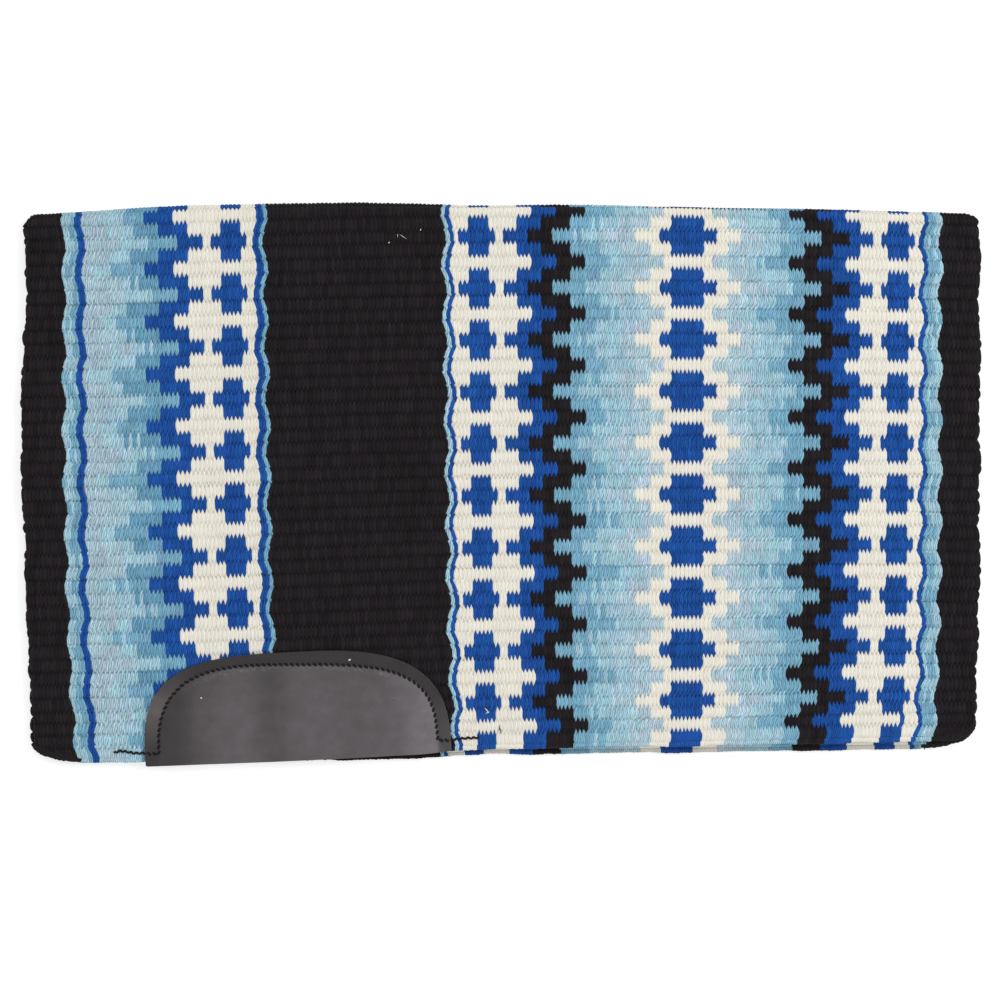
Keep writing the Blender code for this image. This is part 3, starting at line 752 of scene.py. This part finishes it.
def corner_roll(name, side, hem, seed):
    """The black binding rolled round a cut corner: a tube, fullest in the middle, wrapped in turns. It
    bends from the end of the hem cord to the side, and the more squarely it does the nearer its bend lies
    to the corner."""
    low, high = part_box(name + "_corner_roll")
    thick = (high.z - low.z) / 2
    inner_x = (hem.start if side < 0 else hem.end) - side * ROLL_LAP
    outer_x = low.x + ROLL_INSET[0] if side < 0 else high.x - ROLL_INSET[1]
    inner = np.array([inner_x, hem.line(inner_x) + hem.radius])
    outer = np.array([outer_x, hem.line(outer_x) + CORNER_RISE])
    square = ROLL_SQUARE[name]
    control = (inner + outer) / 2 * (1 - square) + np.array([outer[0], inner[1]]) * square
    t = np.linspace(0, 1, ROLL_RINGS)[:, None]
    centre = (1 - t) ** 2 * inner + 2 * t * (1 - t) * control + t ** 2 * outer
    t = t[:, 0]
    outward = 1 if low.z > HINGE_Z else -1
    height = (low.z + high.z) / 2 + outward * ROLL_LIFT * np.sin(math.pi * t)
    centre = np.concatenate([centre, np.clip(height, thick * ROLL_OFF_FLOOR, None)[:, None]], 1)
    centre[:, 1] += soft_noise("roll_stray", t * 5, 0, seed)
    angle = round_about(CORD_SIDES)
    full = np.interp(t, np.linspace(0, 1, len(ROLL_FULLNESS)), ROLL_FULLNESS)
    turns = (t * ROLL_TURNS + angle / (2 * math.pi) + soft_noise("roll_turns", t * 9, 0, seed)) % 1
    lumps = 1 + soft_noise("roll_lumps", t * 22, angle * 2, seed)
    radius = thick * full * (ROLL_LEAST + ROLL_CROWN * crown(turns)) * lumps
    return tube(name + "_binding", centre, radius, CORD_SIDES, BLACK_YARN)


def seam_line(tails):
    """The seam in the half-moon's own frame, evenly spaced: an arch that falls off to the right, down to
    its feet, with the thread's run-on over the wool at each end where there are tails."""
    across, up = arch(SEAM_POINTS, SEAM_SHOULDERS)
    x = SEAM_LEFT + (SEAM_RIGHT - SEAM_LEFT) / 2 * (1 + across)
    y = (SEAM_HEIGHT - SEAM_FALL * x) * up
    x, y = x[y > SEAM_FEET], y[y > SEAM_FEET]
    if tails:
        x, y = np.concatenate([np.array(LEFT_TAIL) * MM, [x, y], np.array(RIGHT_TAIL) * MM], 1)
    run = np.concatenate([[0], np.cumsum(np.hypot(np.diff(x), np.diff(y)))])
    even = np.linspace(0, run[-1], int(run[-1] / SEAM_PITCH) * POINTS_A_STITCH + 1)
    line = np.stack([np.interp(even, run, x), np.interp(even, run, y)])
    for _ in range(SEAM_SMOOTHING):
        line[:, 1:-1] = (line[:, :-2] + 2 * line[:, 1:-1] + line[:, 2:]) / 4
    return line


def leather_dent(along, above, y):
    """How far a leather's face lies under its highest level: a groove where the thread pulls it down, a
    slow fall inside the seam, and a trace of the ribs underneath."""
    seam_x, seam_y = seam_line(False)[:, ::3]
    flat_along, flat_above = along.ravel()[:, None], above.ravel()[:, None]
    to_seam = np.sqrt(((flat_along - seam_x) ** 2 + (flat_above - seam_y) ** 2).min(1)).reshape(along.shape)
    groove = THREAD_PULL * np.exp(-(to_seam / PULL_REACH) ** 2)
    bedding = BEDDING * (1 + soft_noise("bedding", along, above))
    ribs = RIB_TRACE * (1 + np.cos(2 * math.pi * (y - FOLD_Y) / RIB))
    return groove + bedding + ribs * np.clip(to_seam / TRACE_REACH, 0, 1)


def leather_tone(along, above):
    """How light the leather is, and how brown: soft bands along it inside the seam, partly uneven dye and
    partly painted sheen, a little darker towards the top, with painted highlights on its puckers. Its margin
    is dark, with a painted highlight round the left side that is browner there, and paler at the lower right."""
    across = 2 * (along - SEAM_LEFT) / (SEAM_RIGHT - SEAM_LEFT) - 1
    level = arch_level(across, above / (SEAM_HEIGHT - SEAM_FALL * along), SEAM_SHOULDERS)
    margin = eased((level - 1) / MARGIN_BLEND + 0.4)
    # Broad bands along the leather, partly uneven dye and partly painted sheen, and a little darker towards
    # the top
    inside = through(along / MM, HIDE_ALONG, HIDE_DYE_AND_SHEEN) * (1 - TOP_SHADE * (above / MOON_HEIGHT) ** 2)

    # The hide puckers inside the seam, most along its top, and the light that the puckers catch is painted on
    # as highlights
    puckers = np.clip(soft_noise("puckers", along, above), 0, None)
    beside = np.exp(-((level - PUCKER_LEVEL) / PUCKER_BAND) ** 2)
    inside = inside + PUCKER_HIGHLIGHT * puckers * beside * eased(above / PUCKER_START - 3)
    # A painted highlight round the left side of the margin, browner there; the lower right of the margin is
    # paler
    left = np.exp(-((above / MM - LEFT_HIGHLIGHT_MIDDLE) / LEFT_HIGHLIGHT_HALF) ** 2)
    left = left * eased((LEFT_HIGHLIGHT_END - along) / PALER_BLEND)
    right = np.clip(1 - above / RIGHT_PALER_TOP, 0, 1) * eased((along - RIGHT_PALER_START) / PALER_BLEND)
    outside = MARGIN_TONE + LEFT_HIGHLIGHT * left + RIGHT_PALER * right
    return inside + margin * (outside - inside), margin * left


def wear_leather(name, moon, face):
    """A half-moon of leather: rings that follow its rim inwards over its face, and back under it. face
    is 1 where it faces up and -1 down. The rim is rounded."""
    turn = np.linspace(0, math.pi / 2, RIM_RINGS)
    rounded, level = MOON_EDGE * (1 - np.cos(turn)), MOON_EDGE * (1 - np.sin(turn))
    under = np.linspace(MOON_HEIGHT / 2, MOON_EDGE, UNDER_RINGS + 1)[:-1]
    over = np.linspace(MOON_EDGE, MOON_HEIGHT / 2, FACE_RINGS + 1)[1:]
    inset = np.concatenate([under, level, rounded, over])
    depth = np.concatenate([0 * under, rounded, level, 0 * over])
    on_face = np.arange(len(inset)) >= UNDER_RINGS + RIM_RINGS
    rims = [moon.rim(distance, ARC_POINTS) for distance in inset]
    along = np.array([np.append(x, np.linspace(x[-1], x[0], BASE_POINTS + 2)[1:-1]) for x, y in rims])
    above = np.array([np.append(y, np.full(BASE_POINTS, y.min())) for x, y in rims])
    bulge = through(along[:, ARC_POINTS:] / MOON_LENGTH, BASE_SHARES, BASE_BULGE) * MM
    above[:, ARC_POINTS:] -= bulge * (1 - inset[:, None] * 2 / MOON_HEIGHT)
    x, y = moon.put(along, above)
    dent = leather_dent(along, above, y)
    high = moon.high_z - (dent + depth[:, None]) if face > 0 else moon.low_z + dent + depth[:, None]
    low = moon.low_z + depth[:, None] + 0 * x if face > 0 else moon.high_z - depth[:, None] + 0 * x
    points = np.stack([x, y, np.where(on_face[:, None], high, low)], -1)
    index = np.arange(x.size).reshape(x.shape)
    for row in (0, -1):
        near = np.abs(along[row, :ARC_POINTS] - along[row, ARC_POINTS:, None]).argmin(1)
        index[row, ARC_POINTS:] = index[row, near]
    worn = np.stack(leather_tone(along, above), -1)
    index, worn = (np.concatenate([grid, grid[:, :1]], 1)[::face] for grid in (index, worn))
    return surface(name, points, index, {"worn": worn})


def stitching(name, moon, face):
    """The thread: a tube along the seam that lies on the leather for most of each stitch and dives through
    it between stitches. Its run-on lies on the wool, at the front only. Each stitch slants across the
    seam."""
    along, above = seam_line(face > 0)
    x, y = moon.put(along, above)
    on_leather = moon.cover(x, y, THREAD_STEP) > 0.5
    stitches = np.arange(len(x)) / POINTS_A_STITCH
    phase = stitches % 1
    on = np.clip(np.sin(math.pi * np.clip(phase / STITCH_SHARE, 0, 1)) * STITCH_SQUARE, 0, 1)
    dip = THREAD_DIVE * (1 - on)
    dent = leather_dent(along[None], above[None], y[None])[0]
    if face > 0:
        face_z = np.where(on_leather, moon.high_z - dent, PANEL_HIGH.z + WOOL_STAND)
        z = face_z + THREAD_STAND - np.where(on_leather, dip, TAIL_DIP * dip)
    else:
        z = moon.low_z + dent - BACK_THREAD_STAND + dip
    under = (phase - STITCH_SHARE) / (1 - STITCH_SHARE) - 0.5
    slant = np.where(phase < STITCH_SHARE, 0.5 - phase / STITCH_SHARE, under)
    side = STITCH_SLANT * STITCH_SHARE * SEAM_PITCH * slant + soft_noise("thread", stitches, 0)
    step_x, step_y = np.gradient(x), np.gradient(y)
    length = np.hypot(step_x, step_y)
    centre = np.stack([x - side * step_y / length, y + side * step_x / length, z], 1)
    radius = THREAD_HALF * np.where(on_leather, 0.6 + 0.4 * on, 0.85 + 0.08 * np.sin(8 * phase))
    return tube(name, centre, radius[None], THREAD_SIDES)


def loose_ends(name, strokes, colour=None):
    """Short loose ends of yarn or thread, bent a little: one mesh of tubes that taper to points."""
    ends = np.array(strokes) * MM
    t = np.linspace(0, 1, LOOSE_RINGS)
    paths = ends[:, None, :3] + (ends[:, None, 3:6] - ends[:, None, :3]) * t[:, None]
    paths[..., 0] += LOOSE_BEND * np.sin(3 * t)
    radius = ends[:, None, 6] * np.sqrt(4 * t * (1 - t))
    return tube(name, paths.reshape(-1, 3), radius.ravel(), THREAD_SIDES, colour)


def node(tree, kind, inputs=None):
    """Adds a node of a kind, with its operation after a space. Each value goes to the property or input of
    its name. An earlier node's first output is linked there, or the one that is named beside it."""
    kind, *operation = kind.split()
    new = tree.nodes.new("ShaderNode" + kind)
    if operation:
        new.operation = operation[0]
    for name, value in (inputs or {}).items():
        named = isinstance(value, tuple) and isinstance(value[0], bpy.types.Node)
        source, output = value if named else (value, 0)
        if isinstance(source, bpy.types.Node):
            tree.links.new(source.outputs[output], new.inputs[name])
        elif isinstance(name, str) and hasattr(new, name):
            setattr(new, name, value)
        else:
            new.inputs[name].default_value = value
    return new


def blank(name):
    """A material with nothing in it, and its node tree."""
    material = bpy.data.materials.new(name)
    material.use_nodes = True
    material.node_tree.nodes.clear()
    return material, material.node_tree


def woven_wool(name):
    """Packed wool weft yarn, dyed before weaving. Soft spun single ply: the eye sees matt colour, fine
    fibres that run along each yarn, and a little fuzz that catches light at a glancing angle."""
    material, tree = blank(name)
    place = node(tree, "UVMap", {"uv_map": "weave"})
    # Plies: two to a yarn, one turn every 14 mm, so that their grooves slant over the rib; the colour is
    # darker in the grooves between them, as painted shade
    parts = node(tree, "SeparateXYZ", {"Vector": place})
    stray = node(tree, "TexNoise", {"Scale": 1.0, "Detail": 1.0, "Vector": place})
    turns = node(tree, "Math MULTIPLY_ADD", {0: (parts, "Y"), 1: 1 / (7 * MM), 2: stray})
    ply = node(tree, "Math MULTIPLY_ADD", {0: (parts, "X"), 1: 2.0, 2: turns})
    cycle = node(tree, "Math PINGPONG", {0: ply, 1: 0.5})
    ply_shade = node(tree, "MapRange", {"Value": cycle, "From Max": 0.26, "To Min": 0.74, "To Max": 1.1})
    # Fibres: streaks about 0.4 mm wide and 3 mm long, along the yarn
    along = node(tree, "Mapping", {"Scale": (4.5, 1 / (5 * MM), 1), "Vector": place})
    fibre = node(tree, "TexNoise", {"Scale": 1.0, "Detail": 3.0, "Roughness": 0.6, "Distortion": 0.4,
                                    "Vector": along})
    shade = node(tree, "MapRange", {"Value": fibre, "From Min": 0.25, "From Max": 0.75,
                                    "To Min": 0.82, "To Max": 1.22})
    # Blotches of dye, about 15 mm
    spot = node(tree, "TexCoord")
    dye = node(tree, "TexNoise", {"Scale": 1 / (15 * MM), "Detail": 2.0, "Vector": (spot, "Object")})
    blotch = node(tree, "MapRange", {"Value": dye, "From Min": 0.3, "From Max": 0.7,
                                     "To Min": 0.95, "To Max": 1.04})
    plied = node(tree, "Math MULTIPLY", {0: shade, 1: ply_shade})
    both = node(tree, "Math MULTIPLY", {0: plied, 1: blotch})
    # The yarn's own colour, and how far its plies and fibres show
    yarn = node(tree, "Attribute", {"attribute_name": "yarn"})
    off = node(tree, "Math SUBTRACT", {0: both, 1: 1.0})
    shown = node(tree, "Math MULTIPLY_ADD", {0: off, 1: (yarn, "Alpha"), 2: 1.0})
    colour = node(tree, "VectorMath SCALE", {"Vector": yarn, "Scale": shown})
    lift = node(tree, "Math MULTIPLY_ADD", {0: fibre, 1: 0.8, 2: cycle})
    rise = node(tree, "Bump", {"Strength": 0.5, "Distance": 0.5 * MM, "Height": lift})
    shader = node(tree, "BsdfPrincipled", {"Base Color": colour, "Normal": rise, "Roughness": 0.95,
                                           "Specular IOR Level": 0.08, "Sheen Weight": 0.06,
                                           "Sheen Roughness": 0.5})
    node(tree, "OutputMaterial", {"Surface": shader})
    return material


def drummed_leather(name):
    """Chrome-tanned cowhide, dyed charcoal in the drum and softly glazed: a smooth dark grey with fine
    pores, lighter and darker in soft broad bands of uneven dye and painted sheen, and browner round the
    left of its rim, where a highlight is painted."""
    material, tree = blank(name)
    spot = node(tree, "TexCoord")
    worn = node(tree, "UVMap", {"uv_map": "worn"})
    parts = node(tree, "SeparateXYZ", {"Vector": worn})
    # Pores and hair-cell grain, about 0.9 mm apart
    grain = node(tree, "TexVoronoi", {"Scale": 1 / (0.9 * MM), "Vector": (spot, "Object")})
    # Uneven dye, from patches of 14 mm down to specks
    soft = node(tree, "TexNoise", {"Scale": 1 / (14 * MM), "Detail": 7.0, "Roughness": 0.62,
                                   "Vector": (spot, "Object")})
    uneven = node(tree, "MapRange", {"Value": soft, "From Min": 0.3, "From Max": 0.7,
                                     "To Min": 0.85, "To Max": 1.15})
    tone = node(tree, "Math MULTIPLY", {0: (parts, "X"), 1: uneven})
    dye = node(tree, "ValToRGB", {"Fac": (parts, "Y")})
    dye.color_ramp.elements[0].color = (*linear("#5b5659"), 1)
    dye.color_ramp.elements[1].color = (*linear("#5c5654"), 1)
    colour = node(tree, "VectorMath SCALE", {"Vector": dye, "Scale": tone})
    heights = node(tree, "Math MULTIPLY_ADD", {0: grain, 1: 0.4, 2: soft})
    rise = node(tree, "Bump", {"Strength": 0.25, "Distance": 0.2 * MM, "Height": heights})
    rough = node(tree, "MapRange", {"Value": soft, "To Min": 0.45, "To Max": 0.6})
    shader = node(tree, "BsdfPrincipled", {"Base Color": colour, "Normal": rise, "Roughness": rough,
                                           "Specular IOR Level": 0.35, "IOR": 1.5})
    node(tree, "OutputMaterial", {"Surface": shader})
    return material


def waxed_thread(name):
    """Bonded nylon sewing thread, black: three plies laid together in slanting turns, with a dull wax."""
    material, tree = blank(name)
    place = node(tree, "UVMap", {"uv_map": "weave"})
    # The plies' slanting bands, so fine that their dark and light blend at a distance
    turned = node(tree, "Mapping", {"Rotation": (0, 0, math.radians(35)), "Vector": place})
    plies = node(tree, "TexWave", {"Scale": 1 / (20 * 0.5 * MM), "Distortion": 0.6, "Detail": 1.0,
                                   "Vector": turned})
    ramp = node(tree, "ValToRGB", {"Fac": (plies, "Fac")})
    ramp.color_ramp.elements[0].color = (*linear("#080708"), 1)
    ramp.color_ramp.elements[1].color = (*linear("#1a1719"), 1)
    rise = node(tree, "Bump", {"Strength": 0.5, "Distance": 0.1 * MM, "Height": (plies, "Fac")})
    shader = node(tree, "BsdfPrincipled", {"Base Color": ramp, "Normal": rise, "Roughness": 0.6,
                                           "Specular IOR Level": 0.25})
    node(tree, "OutputMaterial", {"Surface": shader})
    return material


WOOL = woven_wool("packed_wool")
HIDE = drummed_leather("charcoal_leather")
THREAD = waxed_thread("waxed_black_thread")


def dress(piece, material, slot, body, *nodes):
    """Gives a piece its material, the body that it rides on, and the nodes whose place it takes. slot is not
    used.
    """
    piece.data.materials.append(material)
    if body:
        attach(piece, body)
    if nodes:
        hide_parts(*nodes)
    return piece


for half, start in (("front", SPINE_RIB + 1), ("back", FIRST_RIB)):
    for number in range(PIECES_A_HALF):
        first = start + number * RIBS_A_PIECE
        piece = wool_piece(f"{half}_wool_{number + 1}", first, first + RIBS_A_PIECE - 1)
        dress(piece, WOOL, "woven_wool", half + "_half", half + "_panel")
spine = wool_piece("spine_wool", SPINE_RIB, SPINE_RIB)
dress(spine, WOOL, "woven_wool", None, "front_panel", "back_panel")
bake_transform(spine)

for half, hem, rib, tone in (("front", FRONT_HEM, LAST_RIB, 1), ("back", BACK_HEM, FIRST_RIB, BACK_HEM_PAINTED_SHADE)):
    cord = hem_cord(half + "_hem_yarns", hem, rib, tone)
    dress(cord, WOOL, "hem_wool", half + "_half", half + "_hem_cord")
    for name, side in ((half + "_left", -1), (half + "_right", 1)):
        roll = corner_roll(name, side, hem, ROLL_SEED + rib + side)
        dress(roll, WOOL, "black_wool", half + "_half", name + "_corner_roll")

for half, moon, face in zip(("front", "back"), MOONS, (1, -1)):
    hide = wear_leather(half + "_leather", moon, face)
    dress(hide, HIDE, "charcoal_leather", half + "_half", half + "_wear_leather")
    thread = stitching(half + "_thread", moon, face)
    dress(thread, THREAD, "black_thread", half + "_half", half + "_stitching")

LINT = np.append(YARN_LINEAR[YARNS.index("cream")], LINT_SHOW)
dress(loose_ends("front_loose_wool", LOOSE_WOOL, LINT), WOOL, "woven_wool", "front_half")
dress(loose_ends("front_loose_thread", FRONT_LOOSE_THREAD), THREAD, "black_thread", "front_half")
dress(loose_ends("back_loose_thread", BACK_LOOSE_THREAD), THREAD, "black_thread", "back_half")


def stage_material():
    """Photographer's white paper: matt, and nearly pure white to the camera and in reflections."""
    material, tree = blank("white_paper")
    paper = node(tree, "BsdfDiffuse", {"Color": (0.78, 0.78, 0.78, 1)})
    glow = node(tree, "Emission", {"Color": (1, 1, 1, 1), "Strength": 0.5})
    lit = node(tree, "AddShader", {0: paper, 1: glow})
    path = node(tree, "LightPath")
    seen = node(tree, "Math MAXIMUM", {0: (path, "Is Camera Ray"),
                               1: (path, "Is Glossy Ray")})
    either = node(tree, "Math MAXIMUM", {0: seen, 1: (path, "Is Transmission Ray")})
    mixed = node(tree, "MixShader", {"Fac": either, 1: paper, 2: lit})
    node(tree, "OutputMaterial", {"Surface": mixed})
    return material


floor_x, floor_y = np.meshgrid([-4.0, 4.0], [4.0, -4.0])
floor = surface("floor", np.stack([floor_x, floor_y, 0 * floor_x - 0.5 * MM], -1), np.array([[0, 1], [2, 3]]))
floor.data.materials.append(stage_material())

world = bpy.data.worlds.new("soft_white")
bpy.context.scene.world = world
world.use_nodes = True
background = world.node_tree.nodes["Background"].inputs
background["Color"].default_value = (1, 1, 1, 1)
background["Strength"].default_value = 0.66


def softbox(name, place, size, power):
    """A square area lamp that faces the blanket's middle."""
    lamp = bpy.data.lights.new(name, "AREA")
    lamp.energy, lamp.size = power, size
    box = placed(name, lamp)
    box.location = place
    box.rotation_euler = (-box.location).to_track_quat("-Z", "Y").to_euler()


softbox("softbox_left", (-2.2, 1.6, 2.6), 1.6, 11)
softbox("softbox_right", (2.2, 0.6, 2.4), 1.6, 31)

# Straight above the blanket, as the photograph was taken
camera_data = bpy.data.cameras.new("camera")
camera_data.sensor_width = 36
camera_data.lens = CAMERA_LENS
camera = placed("camera", camera_data)
camera.location = CAMERA_PLACE
bpy.context.scene.camera = camera
bpy.context.scene.view_settings.view_transform = "Standard"
